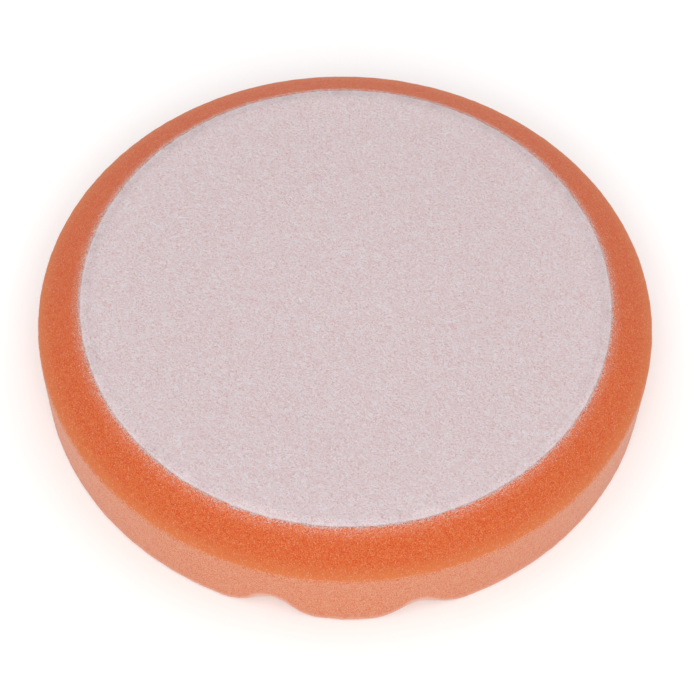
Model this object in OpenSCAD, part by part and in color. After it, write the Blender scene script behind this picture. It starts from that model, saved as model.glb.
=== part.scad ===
// Machine polishing pad: a foam disc with a dimpled working face below,
// a sloping shoulder above, and a loop cloth bonded on for a hook plate.
// Millimetres. The pad lies on its working face, and the origin is the
// centre of that face. +Z points up to the loop cloth.

/* [Foam] */
// Diameter of the crease under the shoulder, before it is rounded
pad_d = 150; // [120:1:200]
// Thickness of the foam
foam_t = 25.8; // [20:0.1:35]
// Height of the crease between the wall and the shoulder
crease_z = 19.4; // [14:0.1:22]
// Radius of the rounding at the crease
crease_round = 2.2; // [0.5:0.1:4]
// How much smaller the radius is at the foot of the wall
wall_taper = 1.1; // [0.2:0.1:3]
// Radius of the rounding at the foot of the wall
foot_round = 1.5; // [0.5:0.1:3]
// Width of foam left bare between the loop cloth and the shoulder
bare_ledge = 0.6; // [0.3:0.1:3]

/* [Dimples] */
// Distance between neighbouring dimples, in rows parallel to X
dimple_pitch = 38.1; // [34:0.1:60]
// Depth of a dimple
dimple_depth = 9; // [3:0.1:12]
// Width of a dimple across its rounded lip
dimple_w = 27.8; // [20:0.1:32]
// Share of the dimple's flank that belongs to its round floor
floor_share = 0.56; // [0.4:0.01:0.65]
// Place of one dimple of the pattern, in X
pattern_x = 1.9; // [-10:0.1:10]
// Place of the same dimple, in Y
pattern_y = 20.8; // [18:0.1:24]

/* [Loop cloth] */
// Diameter of the loop cloth
cloth_d = 128.4; // [100:0.1:180]
// Thickness of the adhesive film between foam and cloth
film_t = 0.2; // [0.1:0.05:0.6]
// Thickness of the knitted ground of the loop cloth
ground_t = 0.5; // [0.3:0.1:1.2]
// Height of the brushed loops above the knitted ground
pile_t = 0.9; // [0.5:0.1:2.5]

/* [Hidden] */
$fn = 96;

pad_r = pad_d / 2;
foot_r = pad_r - wall_taper;
ledge_r = cloth_d / 2 + bare_ledge;
film_z = foam_t;
ground_z = film_z + film_t;
pile_z = ground_z + ground_t;

// The flank of a dimple is two arcs that meet smoothly: a round floor,
// and a lip that rolls over onto the face.
arcs_r = (pow(dimple_w / 2, 2) / dimple_depth + dimple_depth) / 2;
floor_r = floor_share * arcs_r;
lip_r = arcs_r - floor_r;
floor_z = dimple_depth - floor_r;
meet_z = floor_z + floor_share * (lip_r - floor_z);
// The lip stops this far short of level, so that it cuts the face cleanly.
lip_lift = 0.05;
// How far a cutting shape passes through the face.
clear = 1;

row_gap = dimple_pitch * sqrt(3) / 2;
reach = ceil(pad_d / dimple_pitch);

function unit(v) = v / norm(v);
// Half of the angle at corner v, between the sides towards a and b.
function half_angle(v, a, b) = acos(unit(a - v) * unit(b - v)) / 2;
// Where an arc of radius r leaves the side from v towards a.
function arc_start(v, a, b, r) =
    v + unit(a - v) * r / tan(half_angle(v, a, b));
// The centre of an arc of radius r that rounds the corner v.
function arc_centre(v, a, b, r) =
    v + unit(unit(a - v) + unit(b - v)) * r / sin(half_angle(v, a, b));
// The centre of the dimple in column i of row j.
function dimple_at(i, j) =
    [pattern_x + (i + j / 2) * dimple_pitch, pattern_y + j * row_gap];

// Half of the foam's section, with its two outer corners rounded.
module foam_section() {
    base = [0, 0];
    foot = [foot_r, 0];
    crease = [pad_r, crease_z];
    ledge = [ledge_r, foam_t];
    polygon([
        base,
        arc_start(foot, base, crease, foot_round),
        arc_start(foot, crease, base, foot_round),
        arc_start(crease, foot, ledge, crease_round),
        arc_start(crease, ledge, foot, crease_round),
        ledge,
        [0, foam_t]
    ]);
    translate(arc_centre(foot, base, crease, foot_round)) circle(foot_round);
    translate(arc_centre(crease, foot, ledge, crease_round)) circle(crease_round);
}

// What one dimple takes out of the face.
module dimple_cut() {
    rotate_extrude() {
        difference() {
            translate([0, -clear]) square([dimple_w / 2, meet_z + clear]);
            translate([dimple_w / 2, lip_r + lip_lift]) circle(lip_r);
        }
        intersection() {
            translate([0, floor_z]) circle(floor_r);
            translate([0, -clear]) square([floor_r, dimple_depth + 2 * clear]);
        }
    }
}

module foam_body() {
    color("#e0743f")
    difference() {
        rotate_extrude() foam_section();
        for (j = [-reach : reach], i = [-2 * reach : 2 * reach]) {
            centre = dimple_at(i, j);
            if (norm(centre) < pad_r + dimple_w / 2) {
                translate(centre) dimple_cut();
            }
        }
    }
}

// A round layer of the loop cloth's stack.
module layer(z, t) {
    translate([0, 0, z]) cylinder(d = cloth_d, h = t);
}

module adhesive_film() {
    color("#e9d9b8") layer(film_z, film_t);
}

module cloth_ground() {
    color("#e6cfd0") layer(ground_z, ground_t);
}

module loop_pile() {
    color("#dcc6c8") layer(pile_z, pile_t);
}

foam_body();
adhesive_film();
cloth_ground();
loop_pile();
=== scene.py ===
"""Looks of a foam polishing pad: a dimpled foam body with a brushed loop cloth bonded on top."""

import math
import random

import bmesh
import bpy
from mathutils import Matrix, Vector, noise
from mathutils.kdtree import KDTree


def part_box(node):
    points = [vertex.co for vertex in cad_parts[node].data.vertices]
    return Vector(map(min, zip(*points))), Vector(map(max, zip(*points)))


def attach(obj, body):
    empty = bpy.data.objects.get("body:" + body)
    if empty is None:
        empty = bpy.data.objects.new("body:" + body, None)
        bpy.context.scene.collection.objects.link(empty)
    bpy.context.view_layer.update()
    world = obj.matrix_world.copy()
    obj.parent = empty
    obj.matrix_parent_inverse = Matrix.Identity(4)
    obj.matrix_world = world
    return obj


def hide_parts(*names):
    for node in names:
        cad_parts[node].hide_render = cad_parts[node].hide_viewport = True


bl_info = {
    "name": "Polishing pad",
    "version": (1, 0, 0),
    "blender": (4, 5, 0),
    "location": "View3D > Sidebar > Polishing pad",
    "description": "Builds a foam polishing pad with a dimpled face and a brushed loop cloth",
    "category": "Mesh",
}

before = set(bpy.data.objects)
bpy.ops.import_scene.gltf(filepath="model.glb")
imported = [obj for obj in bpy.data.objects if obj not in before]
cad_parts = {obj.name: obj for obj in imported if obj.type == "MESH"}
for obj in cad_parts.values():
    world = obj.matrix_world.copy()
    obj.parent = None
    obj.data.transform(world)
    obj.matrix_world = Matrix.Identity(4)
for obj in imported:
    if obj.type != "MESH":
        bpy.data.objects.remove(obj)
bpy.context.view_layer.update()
BODY = "root"

# Places that come from the frame, in metres.
FOAM_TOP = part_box("foam_body")[1].z
GROUND_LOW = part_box("cloth_ground")[0].z
PILE_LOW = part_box("loop_pile")[0].z
PILE_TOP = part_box("loop_pile")[1].z
CLOTH_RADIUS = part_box("cloth_ground")[1].x

MM = 0.001
GOLDEN_ANGLE = math.pi * (3 - math.sqrt(5))
SECTION = "section_height"
WORLD_UP = Vector((0, 0, 1))
RAGGED_FROM = 0.94 * CLOTH_RADIUS
TUCK = 0.35 * MM
SHARP_ANGLE = math.radians(50)


# ---------------------------------------------------------------------------
# Settings
# ---------------------------------------------------------------------------


def length_setting(name, description, default):
    """A size in metres."""
    return bpy.props.FloatProperty(
        name=name, description=description, default=default, unit="LENGTH", precision=5
    )


def share_setting(name, description, default):
    """A share from 0 to 1."""
    return bpy.props.FloatProperty(
        name=name, description=description, default=default, min=0, max=1, subtype="FACTOR"
    )


def colour_setting(name, description, default):
    """A linear colour."""
    return bpy.props.FloatVectorProperty(
        name=name, description=description, default=default, min=0, max=1, size=3, subtype="COLOR"
    )


class FoamSettings(bpy.types.PropertyGroup):
    """Shape and colours of the foam body."""

    radius: length_setting("Radius", "Radius of the crease under the shoulder", 75 * MM)
    crease_height: length_setting(
        "Crease height", "Height of the crease above the face", 19.4 * MM
    )
    crease_round: length_setting(
        "Crease rounding", "Cut back along each side of the crease", 0.9 * MM
    )
    taper: length_setting("Wall taper", "How much narrower the wall is at its foot", 1.1 * MM)
    foot_round: length_setting(
        "Foot rounding", "Cut back along each side of the wall's foot", 1.5 * MM
    )
    ledge: length_setting(
        "Bare ledge", "Foam left bare round the cloth before it slopes", 0.6 * MM
    )
    lip: length_setting("Lip", "Height that the foam swells up beside the cloth", 0.7 * MM)
    pitch: length_setting("Dimple pitch", "Distance between neighbouring dimples", 38.1 * MM)
    dimple_depth: length_setting("Dimple depth", "Depth of a dimple", 9 * MM)
    dimple_width: length_setting("Dimple width", "Width of a dimple across its lip", 27.8 * MM)
    floor_share: share_setting("Floor share", "Share of the flank that is the round floor", 0.56)
    pattern_x: length_setting("Pattern X", "Place of one dimple in X", 1.9 * MM)
    pattern_y: length_setting("Pattern Y", "Place of the same dimple in Y", 20.8 * MM)
    bulge: length_setting(
        "Bulge", "How far the foam between the front scallops swells out", 0.7 * MM
    )
    rough: length_setting("Roughness of the cut", "Unevenness that the cutting leaves", 0.07 * MM)
    ring_gap: length_setting("Ring gap", "Distance between rings of the mesh", 0.8 * MM)
    spokes: bpy.props.IntProperty(
        name="Spokes", description="Columns of faces round the foam", default=620, min=64
    )
    cell: length_setting("Cell size", "Size of one cell of the foam", 0.34 * MM)
    orange: colour_setting("Orange", "Struts of the foam on the shoulder", (0.560, 0.148, 0.043))
    # Deep orange: the dark end of the foam's own mottle, and painted shade inside the cells.
    deep: colour_setting("Deep orange", "Inside of the cells", (0.48, 0.024, 0.004))
    # Painted sheen: the shoulder is coloured paler towards the crease, where its rounding catches
    # the light.
    crease_sheen: colour_setting("Ochre", "Shoulder next to the crease", (0.546, 0.16, 0.056))
    salmon: colour_setting("Salmon", "Cut wall and working face", (0.572, 0.270, 0.141))
    # Deep salmon: the dark end of the wall's own mottle, and painted shade inside the cells there.
    salmon_deep: colour_setting("Deep salmon", "Inside of the cells there", (0.475, 0.038, 0.007))
    glint: colour_setting("Glint", "Struts that catch the light", (0.64, 0.345, 0.225))
    # Pale residue beside the cloth and on the lint; the same colour is also painted at the wall's
    # foot as light.
    residue_and_foot_light: colour_setting("Fluff", "Pale residue beside the cloth", (0.640, 0.370, 0.290))


class ClothSettings(bpy.types.PropertyGroup):
    """Shape and colours of the loop cloth."""

    ragged: length_setting("Ragged edge", "How far the cut edge wanders", 0.26 * MM)
    roll: length_setting("Edge roll", "Width over which the nap rolls down at its edge", 2.0 * MM)
    wrap: length_setting("Wrap", "How far the nap reaches past the cut edge", 0.15 * MM)
    unevenness: length_setting("Unevenness", "Height of the waves in the nap", 0.018 * MM)
    strands: bpy.props.IntProperty(
        name="Strands", description="Loops in each ring of the nap", default=10500, min=100
    )
    rings: bpy.props.IntProperty(
        name="Rings", description="Pieces that the nap's loops are split into", default=9, min=1
    )
    fringe: bpy.props.IntProperty(
        name="Fringe", description="Loops that hang over the cut edge", default=9000, min=1
    )
    lint: bpy.props.IntProperty(
        name="Lint", description="Bits of loop caught on the foam", default=11000, min=1
    )
    lint_reach: length_setting("Lint reach", "How far from the cloth most lint lies", 1.1 * MM)
    strand_width: length_setting("Strand width", "Width of one loop", 0.08 * MM)
    strand_length: length_setting("Strand length", "Mean length of one loop", 0.62 * MM)
    strand_rise: length_setting("Strand rise", "How high a loop arches", 0.022 * MM)
    nap_angle: bpy.props.FloatProperty(
        name="Nap angle", description="Which way the nap was brushed", default=math.radians(-30),
        subtype="ANGLE",
    )
    swirl: bpy.props.FloatProperty(
        name="Swirl", description="How far the loops turn from the brushed way",
        default=math.radians(20), subtype="ANGLE",
    )
    pale: colour_setting("Pale", "Crests of the nap", (0.602, 0.567, 0.590))
    dusty: colour_setting("Dusty", "Hollows of the nap", (0.530, 0.396, 0.407))
    root: colour_setting("Root", "Nap between the loops", (0.553, 0.380, 0.378))
    # Painted highlight along the rolled edge of the cloth, where it turns to the light.
    edge_highlight: colour_setting("Teased edge", "Frayed loops at the cut edge", (0.86, 0.76, 0.76))
    speck: colour_setting("Speck", "Foam that shows through the knit", (0.50, 0.29, 0.27))
    knit: colour_setting("Knit", "Ground of the cloth", (0.66, 0.49, 0.48))
    film: colour_setting("Film", "Hot-melt film", (0.80, 0.60, 0.45))


class StageSettings(bpy.types.PropertyGroup):
    """Floor, light and camera."""

    distance: length_setting("Distance", "From the camera to the crease's centre", 0.75)
    elevation: bpy.props.FloatProperty(
        name="Elevation", description="Height of the camera above the horizon",
        default=math.radians(55.27), subtype="ANGLE",
    )
    roll: bpy.props.FloatProperty(
        name="Roll", description="Tilt of the camera about its own axis",
        default=math.radians(1.63), subtype="ANGLE",
    )
    lens: bpy.props.FloatProperty(
        name="Lens", description="Focal length in millimetres", default=157.97, min=1
    )
    aim: bpy.props.FloatVectorProperty(
        name="Aim", description="Point that the camera looks at", size=3,
        default=(1.31 * MM, -7.03 * MM, 14.5 * MM), subtype="TRANSLATION",
    )
    floor_colour: colour_setting("Floor", "Colour of the floor", (0.95, 0.95, 0.95))
    world_strength: bpy.props.FloatProperty(
        name="Room light", description="Strength of the light from all round", default=1.0, min=0
    )
    key_power: bpy.props.FloatProperty(
        name="Key light", description="Power of the large front light", default=7.5, min=0,
        unit="POWER",
    )


# ---------------------------------------------------------------------------
# Mesh helpers
# ---------------------------------------------------------------------------


def finish_piece(bm, name, material, smooth=True):
    """Turns a bmesh into a piece that rides on the pad's body, its sharp edges kept sharp."""
    mesh = bpy.data.meshes.new(name)
    bm.to_mesh(mesh)
    bm.free()
    if smooth:
        mesh.shade_smooth()
        mesh.set_sharp_from_angle(angle=SHARP_ANGLE)
    else:
        mesh.shade_flat()
    mesh.materials.append(material)
    piece = bpy.data.objects.new(name, mesh)
    bpy.context.scene.collection.objects.link(piece)
    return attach(piece, BODY)


def section_chain(bm, points):
    """A chain of edges through (radius, height) points. Returns its vertices."""
    verts = [bm.verts.new((r, 0, z)) for r, z in points]
    for a, b in zip(verts, verts[1:]):
        bm.edges.new((a, b))
    return verts


def round_corner(bm, vert, back, segments):
    """Rounds one corner of a chain, from back metres before it to back metres after it."""
    bmesh.ops.bevel(
        bm, geom=[vert], offset=back, offset_type="OFFSET", segments=segments,
        profile=0.5, affect="VERTICES", material=-1,
    )


def split_long_edges(bm, gap_at):
    """Divides each edge so that no part is longer than gap_at(its middle)."""
    for edge in list(bm.edges):
        middle = (edge.verts[0].co + edge.verts[1].co) / 2
        cuts = math.ceil(edge.calc_length() / gap_at(middle)) - 1
        if cuts > 0:
            bmesh.ops.subdivide_edges(bm, edges=[edge], cuts=cuts)


def sow(bm, template, places):
    """Adds a copy of the template mesh at each of the places."""
    for place in places:
        template.transform(place)
        bm.from_mesh(template)
        template.transform(place.inverted())


def turn_chain(bm, steps, wedges=20):
    """Turns the chain once round Z, wedge by wedge, and closes it at the axis."""
    wedge = 2 * math.pi / wedges
    bmesh.ops.spin(
        bm, geom=bm.verts[:] + bm.edges[:], cent=(0, 0, 0), axis=WORLD_UP,
        angle=wedge, steps=steps // wedges,
    )
    slice_mesh = bpy.data.meshes.new("wedge")
    bm.to_mesh(slice_mesh)
    bm.clear()
    sow(bm, slice_mesh, [Matrix.Rotation(wedge * k, 4, "Z") for k in range(wedges)])
    bpy.data.meshes.remove(slice_mesh)
    bmesh.ops.remove_doubles(bm, verts=bm.verts, dist=1e-6)
    bmesh.ops.recalc_face_normals(bm, faces=bm.faces)


def fade(x, start, end):
    """1 at start and before it, 0 at end and past it, smooth between."""
    t = min(max((x - start) / (end - start), 0), 1)
    return 1 - t * t * (3 - 2 * t)


def fractal(point, size, octaves=3):
    """Smooth noise from about -1 to 1, with waves about size metres across."""
    return noise.fractal(point / size, 1.0, 2.0, octaves)


# ---------------------------------------------------------------------------
# Foam body
# ---------------------------------------------------------------------------


def dimple_centres(foam):
    """A tree of the dimples that reach the foam, in rows parallel to X."""
    row_gap = foam.pitch * math.sqrt(3) / 2
    reach = foam.radius + foam.dimple_width / 2
    count = math.ceil(reach / row_gap)
    centres = []
    for j in range(-count, count + 1):
        for i in range(-2 * count, 2 * count + 1):
            x = foam.pattern_x + (i + j / 2) * foam.pitch
            y = foam.pattern_y + j * row_gap
            if math.hypot(x, y) < reach:
                centres.append((x, y, 0))
    tree = KDTree(len(centres))
    for k, centre in enumerate(centres):
        tree.insert(centre, k)
    tree.balance()
    return tree


def dimple_rise(foam, distance):
    """Height of a dimple at a distance from its centre: a round floor, then a rolled lip."""
    half = foam.dimple_width / 2
    if distance >= half:
        return 0
    arcs = (half**2 / foam.dimple_depth + foam.dimple_depth) / 2
    floor_r = foam.floor_share * arcs
    lip_r = arcs - floor_r
    if distance < foam.floor_share * half:
        return foam.dimple_depth - floor_r + math.sqrt(floor_r**2 - distance**2)
    return lip_r - math.sqrt(lip_r**2 - (half - distance) ** 2)


def lip_rise(foam, radius):
    """Height that the foam swells up against the pressed edge of the cloth."""
    outside = radius - CLOTH_RADIUS - 0.25 * foam.ledge
    width = 2 * foam.ledge if outside > 0 else 0.6 * foam.ledge
    return foam.lip * math.exp(-((outside / width) ** 2))


def foam_height(foam, radius):
    """Height of the shoulder beside the cloth."""
    ledge = CLOTH_RADIUS + foam.ledge
    slope = (FOAM_TOP - foam.crease_height) / (foam.radius - ledge)
    return FOAM_TOP - max(radius - ledge, 0) * slope + lip_rise(foam, radius)


def shape_foam(foam, bm):
    """Presses the dimples into the face, lets the wall follow them, and marks the old heights."""
    tree = dimple_centres(foam)
    section = bm.verts.layers.float.new(SECTION)
    dimples_end = 0.8 * foam.crease_height
    swell_end = 0.7 * foam.crease_height
    bump_angle = math.radians(3)
    bump_width = math.radians(9)
    for vert in bm.verts:
        x, y, z = vert.co
        vert[section] = z
        near = tree.find((x, y, 0))[2]
        vert.co.z = z + dimple_rise(foam, near) * fade(z, 0, dimples_end)
        angle = math.atan2(x, -y)
        at_rim = 1 - fade(math.hypot(x, y), 0.9 * foam.radius, 0.97 * foam.radius)
        swell = math.exp(-(((angle - bump_angle) / bump_width) ** 2))
        swell *= at_rim * fade(z, 0, swell_end)
        vert.co += Vector((x, y, 0)).normalized() * foam.bulge * swell
        if z > foam.crease_height:
            vert.co.z += lip_rise(foam, math.hypot(x, y))


def roughen(bm, depth, size):
    """Moves each vertex along its normal by smooth noise, and none below the table."""
    bm.normal_update()
    moves = [vert.normal * depth * fractal(vert.co, size) for vert in bm.verts]
    for vert, move in zip(bm.verts, moves):
        vert.co += move
        vert.co.z = abs(vert.co.z)


class PAD_OT_foam_body(bpy.types.Operator):
    """Foam disc with a sloping shoulder above and a dimpled working face below"""

    bl_idname = "pad.foam_body"
    bl_label = "Foam body"

    def execute(self, context):
        foam = context.scene.pad_foam
        bm = bmesh.new()
        chain = section_chain(bm, [
            (0, 0),
            (foam.radius - foam.taper, 0),
            (foam.radius, foam.crease_height),
            (CLOTH_RADIUS + foam.ledge, FOAM_TOP),
            (0, FOAM_TOP),
        ])
        foot, crease, ledge = chain[1:4]
        ledge_round = 0.4 * foam.ledge
        round_corner(bm, foot, foam.foot_round, 4)
        round_corner(bm, crease, foam.crease_round, 3)
        round_corner(bm, ledge, ledge_round, 2)
        hidden = CLOTH_RADIUS - 2 * foam.ledge
        covered_gap = 8 * foam.ring_gap

        def gap_at(middle):
            under_cloth = middle.z > foam.crease_height and middle.x < hidden
            return covered_gap if under_cloth else foam.ring_gap

        split_long_edges(bm, gap_at)
        turn_chain(bm, foam.spokes)
        shape_foam(foam, bm)
        wave_size = 2.2 * MM
        roughen(bm, foam.rough, wave_size)
        piece = finish_piece(bm, "foam_pad_body", foam_material(foam))
        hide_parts("foam_body")
        return {"FINISHED"}


# ---------------------------------------------------------------------------
# Film and cloth
# ---------------------------------------------------------------------------


def edge_wander(cloth, angle):
    """How far the cut edge of the cloth lies from its circle at an angle."""
    fine = noise.noise(Vector((math.cos(angle), math.sin(angle), 0)) * 48)
    coarse = noise.noise(Vector((math.cos(angle), math.sin(angle), 4)) * 11)
    return cloth.ragged * (0.55 * fine + 0.6 * coarse)


def make_ragged(cloth, bm):
    """Lets the rim of a round layer wander, more and more towards its edge."""
    for vert in bm.verts:
        radius = math.hypot(vert.co.x, vert.co.y)
        if radius > RAGGED_FROM:
            angle = math.atan2(vert.co.y, vert.co.x)
            share = (radius - RAGGED_FROM) / (CLOTH_RADIUS - RAGGED_FROM)
            vert.co.xy *= 1 + edge_wander(cloth, angle) * share / radius


class PAD_OT_film(bpy.types.Operator):
    """Hot-melt film between the foam and the cloth"""

    bl_idname = "pad.film"
    bl_label = "Adhesive film"

    def execute(self, context):
        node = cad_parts["adhesive_film"]
        node.data.materials.clear()
        node.data.materials.append(film_material(context.scene.pad_cloth))
        return {"FINISHED"}


class PAD_OT_cloth(bpy.types.Operator):
    """Knitted ground of the loop cloth, laid flat on the film"""

    bl_idname = "pad.cloth"
    bl_label = "Cloth ground"

    def execute(self, context):
        cloth = context.scene.pad_cloth
        bm = bmesh.new()
        section_chain(bm, [
            (0, GROUND_LOW), (CLOTH_RADIUS - cloth.wrap, GROUND_LOW),
            (CLOTH_RADIUS - 0.5 * cloth.roll, PILE_LOW), (0, PILE_LOW),
        ])
        split_long_edges(bm, lambda middle: 3.2 * MM)
        turn_chain(bm, 360)
        make_ragged(cloth, bm)
        piece = finish_piece(bm, "loop_cloth_ground", knit_material(cloth))
        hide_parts("cloth_ground")
        return {"FINISHED"}


def nap_height(cloth, point):
    """Height of the nap's waves, longer along the way it was brushed."""
    wave_size = 1.6 * MM
    turned = Matrix.Rotation(-cloth.nap_angle, 3, "Z") @ point
    return cloth.unevenness * fractal(Vector((turned.x * 0.5, turned.y, 0)), wave_size)


def rolled_edge(cloth, inward):
    """Drop and downward tilt of the nap's surface at a distance inside its outer edge."""
    softness = 0.28
    height = PILE_TOP - cloth.strand_rise - PILE_LOW
    share = 1 - inward / cloth.roll
    soft = math.hypot(share, softness)
    drop = height * (share + soft) / 2
    return drop, math.atan(height / cloth.roll * (1 + share / soft) / 2)


class PAD_OT_nap(bpy.types.Operator):
    """Brushed surface of the loop cloth, rolled over at its edge"""

    bl_idname = "pad.nap"
    bl_label = "Nap"

    def execute(self, context):
        cloth = context.scene.pad_cloth
        top = PILE_TOP - cloth.strand_rise
        outside = CLOTH_RADIUS + cloth.wrap
        steps = [0.08 * k**1.6 * cloth.roll for k in range(12)]
        edge = [(outside - inward, top - rolled_edge(cloth, inward)[0]) for inward in steps]
        bm = bmesh.new()
        tucked = (outside, PILE_LOW - TUCK)
        low = [(0, PILE_LOW), (CLOTH_RADIUS - cloth.roll, PILE_LOW), tucked]
        section_chain(bm, [*low, *edge, (0, top)])
        split_long_edges(bm, lambda middle: 0.9 * MM if middle.z > PILE_LOW else 6 * MM)
        turn_chain(bm, 480)
        for vert in bm.verts:
            if vert.co.z > 0.5 * (PILE_LOW + top):
                vert.co.z += nap_height(cloth, vert.co)
        make_ragged(cloth, bm)
        piece = finish_piece(bm, "loop_nap_mat", nap_material(cloth))
        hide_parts("loop_pile")
        return {"FINISHED"}


def strand_template():
    """One loop of the nap, a metre each way: a thread bent in a low arch, closed at both ends."""
    bm = bmesh.new()
    arch = math.radians(100)
    bend = 0.5 / math.sin(arch / 2)
    drop = bend * math.cos(arch / 2)
    place = Matrix.Translation((0, 0, bend - drop)) @ Matrix.Rotation(math.pi / 2, 4, "Y")
    bmesh.ops.create_circle(bm, cap_ends=True, segments=3, radius=0.5, matrix=place)
    pivot = (0, 0, -drop)
    bmesh.ops.rotate(
        bm, cent=pivot, matrix=Matrix.Rotation(-arch / 2, 3, "Y"), verts=bm.verts
    )
    bmesh.ops.spin(bm, geom=bm.faces[:], cent=pivot, axis=(0, 1, 0), angle=arch, steps=2)
    bmesh.ops.recalc_face_normals(bm, faces=bm.faces)
    mesh = bpy.data.meshes.new("strand")
    bm.to_mesh(mesh)
    bm.free()
    return mesh


def lay_strand(point, yaw, size, tilt):
    """The matrix that lays the loop template at a point, tilted down away from the axis."""
    across = Vector((-point.y, point.x, 0))
    return (
        Matrix.Translation(point)
        @ Matrix.Rotation(tilt, 4, across)
        @ Matrix.Rotation(yaw, 4, "Z")
        @ Matrix.Diagonal((*size, 1))
    )


def nap_yaw(cloth, point, rng):
    """Which way a loop lies: the brushed way, turned by slow swirls and by chance."""
    slow_size, quick_size, chance = 7 * MM, 2.5 * MM, 0.4
    slow = noise.noise(Vector((point.x, point.y, 0)) / slow_size)
    quick = noise.noise(Vector((point.x, point.y, 0.01)) / quick_size)
    return cloth.nap_angle + cloth.swirl * (slow + quick) + rng.gauss(0, chance)


def sow_piece(name, template, places, material):
    """A piece made of copies of the template."""
    bm = bmesh.new()
    sow(bm, template, places)
    piece = finish_piece(bm, name, material, smooth=False)
    return piece


class PAD_OT_strands(bpy.types.Operator):
    """Loops of the nap, laid over one another the way they were brushed"""

    bl_idname = "pad.strands"
    bl_label = "Nap strands"

    def execute(self, context):
        cloth = context.scene.pad_cloth
        rng = random.Random(7)
        template = strand_template()
        material = strand_material(cloth)
        total = cloth.strands * cloth.rings
        outside = CLOTH_RADIUS + cloth.wrap
        for ring in range(cloth.rings):
            places = []
            for k in range(ring * cloth.strands, (ring + 1) * cloth.strands):
                radius = outside * math.sqrt((k + rng.random()) / total)
                angle = k * GOLDEN_ANGLE + rng.gauss(0, 0.3) * MM / max(radius, MM)
                drop, tilt = rolled_edge(cloth, outside - radius)
                height = PILE_TOP - cloth.strand_rise - drop
                point = Vector((radius * math.cos(angle), radius * math.sin(angle), height))
                point.z += nap_height(cloth, point)
                size = (
                    cloth.strand_length * rng.uniform(0.55, 1.45),
                    cloth.strand_width * rng.uniform(0.5, 1.4),
                    cloth.strand_rise * rng.uniform(0.5, 1.5),
                )
                places.append(lay_strand(point, nap_yaw(cloth, point, rng), size, tilt))
            sow_piece(f"loop_nap_strands_{ring + 1}", template, places, material)
        bpy.data.meshes.remove(template)
        return {"FINISHED"}


class PAD_OT_fringe(bpy.types.Operator):
    """Loops that hang over the cut edge of the cloth, and lint on the foam beside it"""

    bl_idname = "pad.fringe"
    bl_label = "Edge fringe and lint"

    def execute(self, context):
        cloth = context.scene.pad_cloth
        foam = context.scene.pad_foam
        rng = random.Random(11)
        template = strand_template()
        places = []
        for k in range(cloth.fringe):
            angle = 2 * math.pi * (k + rng.random()) / cloth.fringe
            inward = cloth.roll * rng.gauss(0.08, 0.18)
            drop, tilt = rolled_edge(cloth, inward)
            radius = CLOTH_RADIUS + cloth.wrap + edge_wander(cloth, angle) - inward
            height = max(PILE_TOP - 0.5 * cloth.strand_rise - drop, foam_height(foam, radius))
            point = Vector((radius * math.cos(angle), radius * math.sin(angle), height))
            size = (
                cloth.strand_length * rng.uniform(0.4, 1.3),
                cloth.strand_width * rng.uniform(0.6, 1.3),
                cloth.strand_rise * rng.uniform(0.6, 1.6),
            )
            yaw = angle + rng.gauss(0, 1.0)
            places.append(lay_strand(point, yaw, size, tilt * rng.uniform(0.7, 1.0)))
        sow_piece("loop_nap_fringe", template, places, strand_material(cloth))

        places = []
        step = 0.5 * MM
        for k in range(cloth.lint):
            angle = 2 * math.pi * rng.random()
            spread = cloth.lint_reach * rng.choice((0.3, 1))
            radius = CLOTH_RADIUS + abs(rng.gauss(0, spread))
            height = foam_height(foam, radius)
            tilt = math.atan((height - foam_height(foam, radius + step)) / step)
            point = Vector((radius * math.cos(angle), radius * math.sin(angle), height))
            length = rng.uniform(0.15, 0.5) * MM
            size = (
                length,
                cloth.strand_width * rng.uniform(0.5, 1.0),
                length * rng.uniform(0.1, 0.3),
            )
            yaw = rng.uniform(0, 2 * math.pi)
            places.append(lay_strand(point, yaw, size, tilt + rng.gauss(0, 0.2)))
        sow_piece("loop_nap_lint", template, places, lint_material(foam, cloth))
        bpy.data.meshes.remove(template)
        return {"FINISHED"}


# ---------------------------------------------------------------------------
# Materials
# ---------------------------------------------------------------------------


def add(tree, kind, inputs=(), **settings):
    """A node with its inputs set or linked and its other settings made."""
    node = tree.nodes.new(kind)
    for key, value in settings.items():
        setattr(node, key, value)
    for name, value in dict(inputs).items():
        socket = node.inputs[name]
        if isinstance(value, bpy.types.NodeSocket):
            tree.links.new(value, socket)
        else:
            socket.default_value = value
    return node


def maths(tree, operation, a, b=0.5, clamp=False):
    """The result of one sum."""
    node = add(tree, "ShaderNodeMath", {0: a, 1: b}, operation=operation, use_clamp=clamp)
    return node.outputs[0]


def band(tree, value, low, high):
    """0 below low, 1 above high, smooth between."""
    node = add(
        tree, "ShaderNodeMapRange", {"Value": value, "From Min": low, "From Max": high},
        interpolation_type="SMOOTHSTEP",
    )
    return node.outputs["Result"]


def blend_colour(tree, share, a, b):
    """Colour a turning to colour b."""
    node = add(
        tree, "ShaderNodeMix", {"Factor": share, "A": as_rgba(a), "B": as_rgba(b)},
        data_type="RGBA",
    )
    return node.outputs["Result"]


def as_rgba(colour):
    """A setting's colour with its alpha, or a socket as it is."""
    return colour if isinstance(colour, bpy.types.NodeSocket) else (*colour, 1)


def new_group(name, inputs, outputs):
    """A shader node group with float or vector sockets. Returns it with its two end nodes."""
    group = bpy.data.node_groups.new(name, "ShaderNodeTree")
    for socket_name, kind, default in inputs:
        socket = group.interface.new_socket(socket_name, in_out="INPUT", socket_type=kind)
        if default is not None:
            socket.default_value = default
    for socket_name, kind in outputs:
        group.interface.new_socket(socket_name, in_out="OUTPUT", socket_type=kind)
    return group, group.nodes.new("NodeGroupInput"), group.nodes.new("NodeGroupOutput")


SOCKET_NAMES = {
    "specular": "Specular IOR Level",
    "sheen": "Sheen Weight",
    "sheen_roughness": "Sheen Roughness",
}


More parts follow.
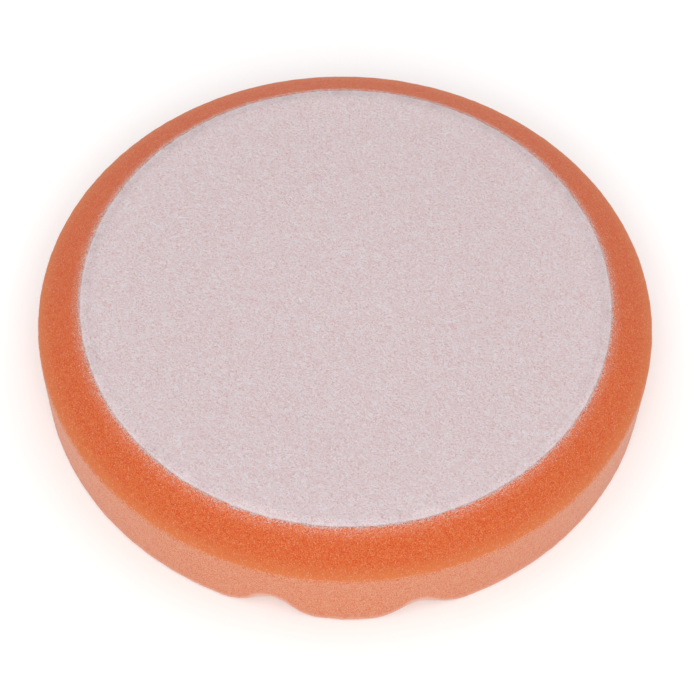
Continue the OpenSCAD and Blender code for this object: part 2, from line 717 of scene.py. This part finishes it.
def shader(name, roughness, **fixed):
    """A material with its Principled BSDF, and its object coordinates."""
    material = bpy.data.materials.new(name)
    material.use_nodes = True
    tree = material.node_tree
    bsdf = tree.nodes["Principled BSDF"]
    bsdf.inputs["Roughness"].default_value = roughness
    for socket_name, value in fixed.items():
        bsdf.inputs[SOCKET_NAMES[socket_name]].default_value = value
    return material, tree, bsdf, tree.nodes.new("ShaderNodeTexCoord").outputs["Object"]


def place_group(tree, group, inputs):
    """An instance of a node group with its inputs set."""
    node = tree.nodes.new("ShaderNodeGroup")
    node.node_tree = group
    for name, value in inputs.items():
        if isinstance(value, bpy.types.NodeSocket):
            tree.links.new(value, node.inputs[name])
        else:
            node.inputs[name].default_value = value
    return node


def shared_group(name, build):
    """The node group of that name, built the first time it is asked for."""
    return bpy.data.node_groups.get(name) or build(name)


def from_axis(tree, place):
    """Distance from the pad's axis."""
    level = add(tree, "ShaderNodeVectorMath", {0: place, 1: (1, 1, 0)}, operation="MULTIPLY")
    length = add(tree, "ShaderNodeVectorMath", {0: level.outputs[0]}, operation="LENGTH")
    return length.outputs["Value"]


def build_foam_cells(name):
    """Open cells: pores of uneven depth between struts, darkened with painted shade, a mottle,
    glints, and their height.
    """
    group, start, end = new_group(
        name,
        [("Vector", "NodeSocketVector", None), ("Cell", "NodeSocketFloat", 0.0004)],
        [
            ("Strut", "NodeSocketFloat"), ("Mottle", "NodeSocketFloat"),
            ("Glint", "NodeSocketFloat"), ("Height", "NodeSocketFloat"),
        ],
    )
    place = start.outputs["Vector"]
    scale = maths(group, "DIVIDE", 1.0, start.outputs["Cell"])
    cells = add(group, "ShaderNodeTexVoronoi", {"Vector": place, "Scale": scale}, feature="F1")
    parts = add(group, "ShaderNodeSeparateColor", {"Color": cells.outputs["Color"]})
    # Painted shade: the middle of each cell is darkened by a random depth, standing in for shade
    # inside the pores.
    pore = band(group, cells.outputs["Distance"], 0.62, 0.12)
    uneven = maths(group, "POWER", parts.outputs["Red"], 1.5)
    strut = maths(group, "SUBTRACT", 1.0, maths(group, "MULTIPLY", pore, uneven))
    fine = add(group, "ShaderNodeTexNoise", {
        "Vector": place, "Scale": maths(group, "MULTIPLY", scale, 1.3), "Detail": 2.0,
        "Roughness": 0.6,
    })
    broad = add(group, "ShaderNodeTexNoise", {
        "Vector": place, "Scale": maths(group, "MULTIPLY", scale, 0.3), "Detail": 2.0,
    })
    mottle = maths(group, "MULTIPLY_ADD", band(group, fine.outputs["Fac"], 0.43, 0.57), 0.8)
    group.links.new(
        maths(group, "MULTIPLY", band(group, broad.outputs["Fac"], 0.3, 0.7), 0.2),
        mottle.node.inputs[2],
    )
    glint = maths(group, "MULTIPLY", band(group, parts.outputs["Green"], 0.55, 0.95), pore)
    height = maths(group, "MULTIPLY_ADD", fine.outputs["Fac"], 0.5)
    group.links.new(strut, height.node.inputs[2])
    for socket_name, value in (
        ("Strut", strut), ("Mottle", mottle), ("Glint", glint), ("Height", height)
    ):
        group.links.new(value, end.inputs[socket_name])
    return group


def foam_material(foam):
    """Foam: deep orange on the shoulder, a painted sheen of paler orange at the crease, pale
    salmon on the wall and face.
    """
    material, tree, bsdf, place = shader(
        "orange_foam", 0.95, specular=0.1, sheen=0.2, sheen_roughness=0.5
    )
    cells = place_group(tree, shared_group("foam_cells", build_foam_cells), {
        "Vector": place, "Cell": foam.cell,
    })
    # Mostly the foam's own mottle, with a 30% share of painted shade in the pores.
    grain_and_pore_shade = add(tree, "ShaderNodeMix", {
        "Factor": 0.7, "A": cells.outputs["Strut"], "B": cells.outputs["Mottle"],
    }).outputs["Result"]
    axes = add(tree, "ShaderNodeSeparateXYZ", {"Vector": place})
    height = axes.outputs["Z"]
    wander = add(tree, "ShaderNodeTexNoise", {"Vector": place, "Scale": 900.0, "Detail": 2.0})
    wander = maths(tree, "MULTIPLY_ADD", wander.outputs["Fac"], 0.9 * MM)
    wander.node.inputs[2].default_value = -0.45 * MM
    shaky = maths(tree, "ADD", height, wander)
    crease = foam.crease_height
    crease_sheen_reach, residue_reach, foot_light_height = 2.6 * MM, 3.4 * MM, 3.0 * MM
    on_shoulder = band(tree, shaky, crease - 0.25 * MM, crease + 0.2 * MM)
    # Painted sheen: the shoulder pales over its last 2.6 mm of height above the crease, where its
    # rounding catches the light.
    crease_sheen_mask = band(tree, shaky, crease + crease_sheen_reach, crease)
    shoulder = blend_colour(tree, grain_and_pore_shade, foam.deep, foam.orange)
    shoulder = blend_colour(tree, maths(tree, "MULTIPLY", crease_sheen_mask, 0.75), shoulder, foam.crease_sheen)
    # The wall and face take a paler salmon than the shoulder, split at the crease.
    wall = blend_colour(tree, grain_and_pore_shade, foam.salmon_deep, foam.salmon)
    colour = blend_colour(tree, on_shoulder, wall, shoulder)
    glints = maths(tree, "MULTIPLY", cells.outputs["Glint"], 0.5)
    colour = blend_colour(tree, glints, colour, foam.glint)
    past_cloth = band(tree, from_axis(tree, place), CLOTH_RADIUS + residue_reach, CLOTH_RADIUS)
    flecks = add(tree, "ShaderNodeTexNoise", {"Vector": place, "Scale": 3200.0, "Detail": 2.0})
    flecks = band(tree, flecks.outputs["Fac"], 0.42, 0.62)
    residue = maths(tree, "MULTIPLY", maths(tree, "MULTIPLY", past_cloth, flecks), on_shoulder)
    colour = blend_colour(tree, maths(tree, "MULTIPLY", residue, 0.5), colour, foam.residue_and_foot_light)
    # Painted light: the wall's foot and the face below it are paled towards the residue colour
    # over the lowest 3 mm, standing in for light from the pale surroundings at the rounded foot.
    section = add(tree, "ShaderNodeAttribute", attribute_name=SECTION).outputs["Fac"]
    foot = maths(tree, "MULTIPLY", band(tree, section, foot_light_height, 0.1 * foot_light_height), 0.8)
    colour = blend_colour(tree, foot, colour, foam.residue_and_foot_light)
    bump = add(tree, "ShaderNodeBump", {
        "Strength": 0.35, "Distance": 0.2 * MM, "Height": cells.outputs["Height"],
    })
    tree.links.new(colour, bsdf.inputs["Base Color"])
    tree.links.new(bump.outputs["Normal"], bsdf.inputs["Normal"])
    return material


def build_brushed(name):
    """Brushed fibres: streaks along the nap, and specks where the knit shows."""
    group, start, end = new_group(
        name,
        [
            ("Vector", "NodeSocketVector", None), ("Angle", "NodeSocketFloat", 0.0),
            ("Strand", "NodeSocketFloat", 0.0003),
        ],
        [
            ("Streak", "NodeSocketFloat"), ("Cloud", "NodeSocketFloat"),
            ("Speck", "NodeSocketFloat"),
        ],
    )
    scale = maths(group, "DIVIDE", 1.0, start.outputs["Strand"])
    swirl = add(group, "ShaderNodeTexNoise", {
        "Vector": start.outputs["Vector"], "Scale": 220.0, "Detail": 1.0,
    })
    push = 3.5 * MM
    pushed = add(group, "ShaderNodeVectorMath", {
        0: swirl.outputs["Color"], 1: (push, push, 0), 2: start.outputs["Vector"],
    }, operation="MULTIPLY_ADD")
    turned = add(group, "ShaderNodeVectorRotate", {
        "Vector": pushed.outputs["Vector"],
        "Angle": maths(group, "MULTIPLY", start.outputs["Angle"], -1.0),
    }, rotation_type="Z_AXIS")
    long_way = add(group, "ShaderNodeVectorMath", {
        0: turned.outputs["Vector"], 1: (0.35, 1.0, 0.4),
    }, operation="MULTIPLY")
    streak = add(group, "ShaderNodeTexNoise", {
        "Vector": long_way.outputs["Vector"], "Scale": scale, "Detail": 3.0, "Roughness": 0.55,
    })
    cloud = add(group, "ShaderNodeTexNoise", {
        "Vector": start.outputs["Vector"], "Scale": maths(group, "MULTIPLY", scale, 0.06),
        "Detail": 2.0,
    })
    speck = add(group, "ShaderNodeTexNoise", {
        "Vector": start.outputs["Vector"], "Scale": maths(group, "MULTIPLY", scale, 0.34),
        "Detail": 1.0,
    })
    group.links.new(band(group, streak.outputs["Fac"], 0.36, 0.64), end.inputs["Streak"])
    group.links.new(band(group, cloud.outputs["Fac"], 0.3, 0.7), end.inputs["Cloud"])
    group.links.new(band(group, speck.outputs["Fac"], 0.60, 0.69), end.inputs["Speck"])
    return group


def brushed_colour(tree, place, cloth, hollow, speck_share):
    """The nap's colour and streaks, with a painted highlight at its edge, shared by its surface
    and its loops.
    """
    streak_width = 0.16 * MM
    streak_share = 0.88
    edge_highlight_width = 0.7 * MM
    fibres = place_group(tree, shared_group("brushed_nap", build_brushed), {
        "Vector": place, "Angle": cloth.nap_angle, "Strand": streak_width,
    })
    streak, cloud = fibres.outputs["Streak"], fibres.outputs["Cloud"]
    share = maths(
        tree, "ADD",
        maths(tree, "MULTIPLY", streak, streak_share),
        maths(tree, "MULTIPLY", cloud, 1 - streak_share),
    )
    colour = blend_colour(tree, share, hollow, cloth.pale)
    specks = maths(tree, "MULTIPLY", fibres.outputs["Speck"], speck_share)
    colour = blend_colour(tree, specks, colour, cloth.speck)
    # Painted highlight: the nap pales over its last 0.7 mm to the cut edge, where the rolled edge
    # turns to the light.
    edge = band(tree, from_axis(tree, place), CLOTH_RADIUS - edge_highlight_width, CLOTH_RADIUS)
    return blend_colour(tree, maths(tree, "MULTIPLY", edge, 0.25), colour, cloth.edge_highlight), streak


def nap_material(cloth):
    """Surface under the loops: pale pink with dusty hollows and specks of the foam below."""
    material, tree, bsdf, place = shader(
        "brushed_nap_mat", 0.92, specular=0.2, sheen=0.25, sheen_roughness=0.5
    )
    colour, streak = brushed_colour(tree, place, cloth, cloth.root, 0.75)
    bump = add(tree, "ShaderNodeBump", {"Strength": 0.1, "Distance": 0.1 * MM, "Height": streak})
    tree.links.new(colour, bsdf.inputs["Base Color"])
    tree.links.new(bump.outputs["Normal"], bsdf.inputs["Normal"])
    return material


def strand_material(cloth):
    """Loops of the nap, a little paler than what lies under them."""
    material, tree, bsdf, place = shader(
        "nap_strand", 0.85, specular=0.25, sheen=0.3, sheen_roughness=0.45
    )
    colour, streak = brushed_colour(tree, place, cloth, cloth.dusty, 0.7)
    bump = add(tree, "ShaderNodeBump", {"Strength": 0.1, "Distance": 0.03 * MM, "Height": streak})
    tree.links.new(colour, bsdf.inputs["Base Color"])
    tree.links.new(bump.outputs["Normal"], bsdf.inputs["Normal"])
    return material


def lint_material(foam, cloth):
    """Bits of loop dyed by the foam's dust."""
    material, tree, bsdf, place = shader("lint", 0.9, specular=0.15)
    tint = add(tree, "ShaderNodeTexNoise", {"Vector": place, "Scale": 1800.0, "Detail": 1.0})
    share = maths(tree, "MULTIPLY", band(tree, tint.outputs["Fac"], 0.3, 0.6), 0.5)
    colour = blend_colour(tree, share, foam.residue_and_foot_light, cloth.pale)
    tree.links.new(colour, bsdf.inputs["Base Color"])
    return material


def knit_material(cloth):
    """Ground of the cloth: fine wales and courses."""
    material, tree, bsdf, place = shader("knit_ground", 0.9, specular=0.2)
    wales = add(tree, "ShaderNodeTexWave", {
        "Vector": place, "Scale": 260.0, "Distortion": 1.5, "Detail": 1.0,
    }, bands_direction="X")
    courses = add(tree, "ShaderNodeTexWave", {
        "Vector": place, "Scale": 330.0, "Distortion": 1.0, "Detail": 1.0,
    }, bands_direction="Y")
    weave = maths(tree, "MULTIPLY", wales.outputs["Fac"], courses.outputs["Fac"])
    colour = blend_colour(tree, weave, cloth.dusty, cloth.knit)
    bump = add(tree, "ShaderNodeBump", {"Strength": 0.6, "Distance": 0.1 * MM, "Height": weave})
    tree.links.new(colour, bsdf.inputs["Base Color"])
    tree.links.new(bump.outputs["Normal"], bsdf.inputs["Normal"])
    return material


def film_material(cloth):
    """Hot-melt film: cream, slightly glossy where it was pressed smooth."""
    material, tree, bsdf, place = shader("hot_melt_film", 0.5, specular=0.4)
    melt = add(tree, "ShaderNodeTexNoise", {"Vector": place, "Scale": 420.0, "Detail": 3.0})
    share = band(tree, melt.outputs["Fac"], 0.35, 0.65)
    colour = blend_colour(tree, share, cloth.film, cloth.knit)
    bump = add(tree, "ShaderNodeBump", {
        "Strength": 0.3, "Distance": 0.05 * MM, "Height": melt.outputs["Fac"],
    })
    tree.links.new(colour, bsdf.inputs["Base Color"])
    tree.links.new(band(tree, melt.outputs["Fac"], 0.0, 1.6), bsdf.inputs["Roughness"])
    tree.links.new(bump.outputs["Normal"], bsdf.inputs["Normal"])
    return material


def floor_material(stage):
    """Plain pale floor."""
    material, tree, bsdf, place = shader("pale_floor", 0.8, specular=0.1)
    slow = add(tree, "ShaderNodeTexNoise", {"Vector": place, "Scale": 6.0, "Detail": 2.0})
    share = maths(tree, "MULTIPLY", slow.outputs["Fac"], 0.04)
    darker = tuple(0.97 * c for c in stage.floor_colour)
    colour = blend_colour(tree, share, stage.floor_colour, darker)
    tree.links.new(colour, bsdf.inputs["Base Color"])
    return material


# ---------------------------------------------------------------------------
# Stage
# ---------------------------------------------------------------------------


def look_from(position, target, roll=0.0):
    """A rotation that looks from position to target, rolled about its own axis."""
    way = (target - position).to_track_quat("-Z", "Y")
    return way.to_matrix() @ Matrix.Rotation(roll, 3, "Z")


def add_soft_light(name, position, target, size, power):
    """A large square light aimed at a point."""
    data = bpy.data.lights.new(name, "AREA")
    data.shape = "SQUARE"
    data.size = size
    data.energy = power
    light = bpy.data.objects.new(name, data)
    light.matrix_world = Matrix.Translation(position) @ look_from(position, target).to_4x4()
    bpy.context.scene.collection.objects.link(light)


class PAD_OT_stage(bpy.types.Operator):
    """Pale floor, soft studio light and the camera"""

    bl_idname = "pad.stage"
    bl_label = "Stage"

    def execute(self, context):
        scene = context.scene
        stage = scene.pad_stage
        bm = bmesh.new()
        bmesh.ops.create_circle(bm, cap_ends=True, segments=96, radius=4)
        mesh = bpy.data.meshes.new("floor")
        bm.to_mesh(mesh)
        bm.free()
        mesh.materials.append(floor_material(stage))
        floor = bpy.data.objects.new("floor", mesh)
        scene.collection.objects.link(floor)

        world = bpy.data.worlds.new("room")
        world.use_nodes = True
        background = world.node_tree.nodes["Background"]
        background.inputs["Strength"].default_value = stage.world_strength
        background.inputs["Color"].default_value = (1, 1, 1, 1)
        scene.world = world

        centre = Vector((0, 0, scene.pad_foam.crease_height))
        light_height = math.radians(36)
        light_distance = 1.3
        light_size = 0.9
        front = Vector((0, -math.cos(light_height), math.sin(light_height)))
        add_soft_light(
            "key", centre + light_distance * front, centre, light_size, stage.key_power
        )

        data = bpy.data.cameras.new("camera")
        data.lens = stage.lens
        data.clip_start = 0.05
        camera = bpy.data.objects.new("camera", data)
        back = Vector((0, -math.cos(stage.elevation), math.sin(stage.elevation)))
        position = centre + back * stage.distance
        turn = look_from(position, Vector(stage.aim), stage.roll)
        camera.matrix_world = Matrix.Translation(position) @ turn.to_4x4()
        scene.collection.objects.link(camera)
        scene.camera = camera
        scene.view_settings.view_transform = "Standard"
        return {"FINISHED"}


# ---------------------------------------------------------------------------
# Add-on
# ---------------------------------------------------------------------------


class PAD_PT_panel(bpy.types.Panel):
    """Buttons that build the pad, piece by piece"""

    bl_idname = "PAD_PT_panel"
    bl_label = "Polishing pad"
    bl_space_type = "VIEW_3D"
    bl_region_type = "UI"
    bl_category = "Polishing pad"

    def draw(self, context):
        for operator in OPERATORS:
            self.layout.operator(operator.bl_idname)


OPERATORS = (
    PAD_OT_stage, PAD_OT_foam_body, PAD_OT_film, PAD_OT_nap, PAD_OT_strands, PAD_OT_fringe,
    PAD_OT_cloth,
)
CLASSES = (FoamSettings, ClothSettings, StageSettings, *OPERATORS, PAD_PT_panel)


def register():
    for cls in CLASSES:
        bpy.utils.register_class(cls)
    bpy.types.Scene.pad_foam = bpy.props.PointerProperty(type=FoamSettings)
    bpy.types.Scene.pad_cloth = bpy.props.PointerProperty(type=ClothSettings)
    bpy.types.Scene.pad_stage = bpy.props.PointerProperty(type=StageSettings)


def unregister():
    del bpy.types.Scene.pad_stage
    del bpy.types.Scene.pad_cloth
    del bpy.types.Scene.pad_foam
    for cls in reversed(CLASSES):
        bpy.utils.unregister_class(cls)


def main():
    register()
    bpy.ops.pad.stage()
    bpy.ops.pad.foam_body()
    bpy.ops.pad.film()
    bpy.ops.pad.nap()
    bpy.ops.pad.strands()
    bpy.ops.pad.fringe()
    bpy.ops.pad.cloth()


if __name__ == "__main__":
    main()
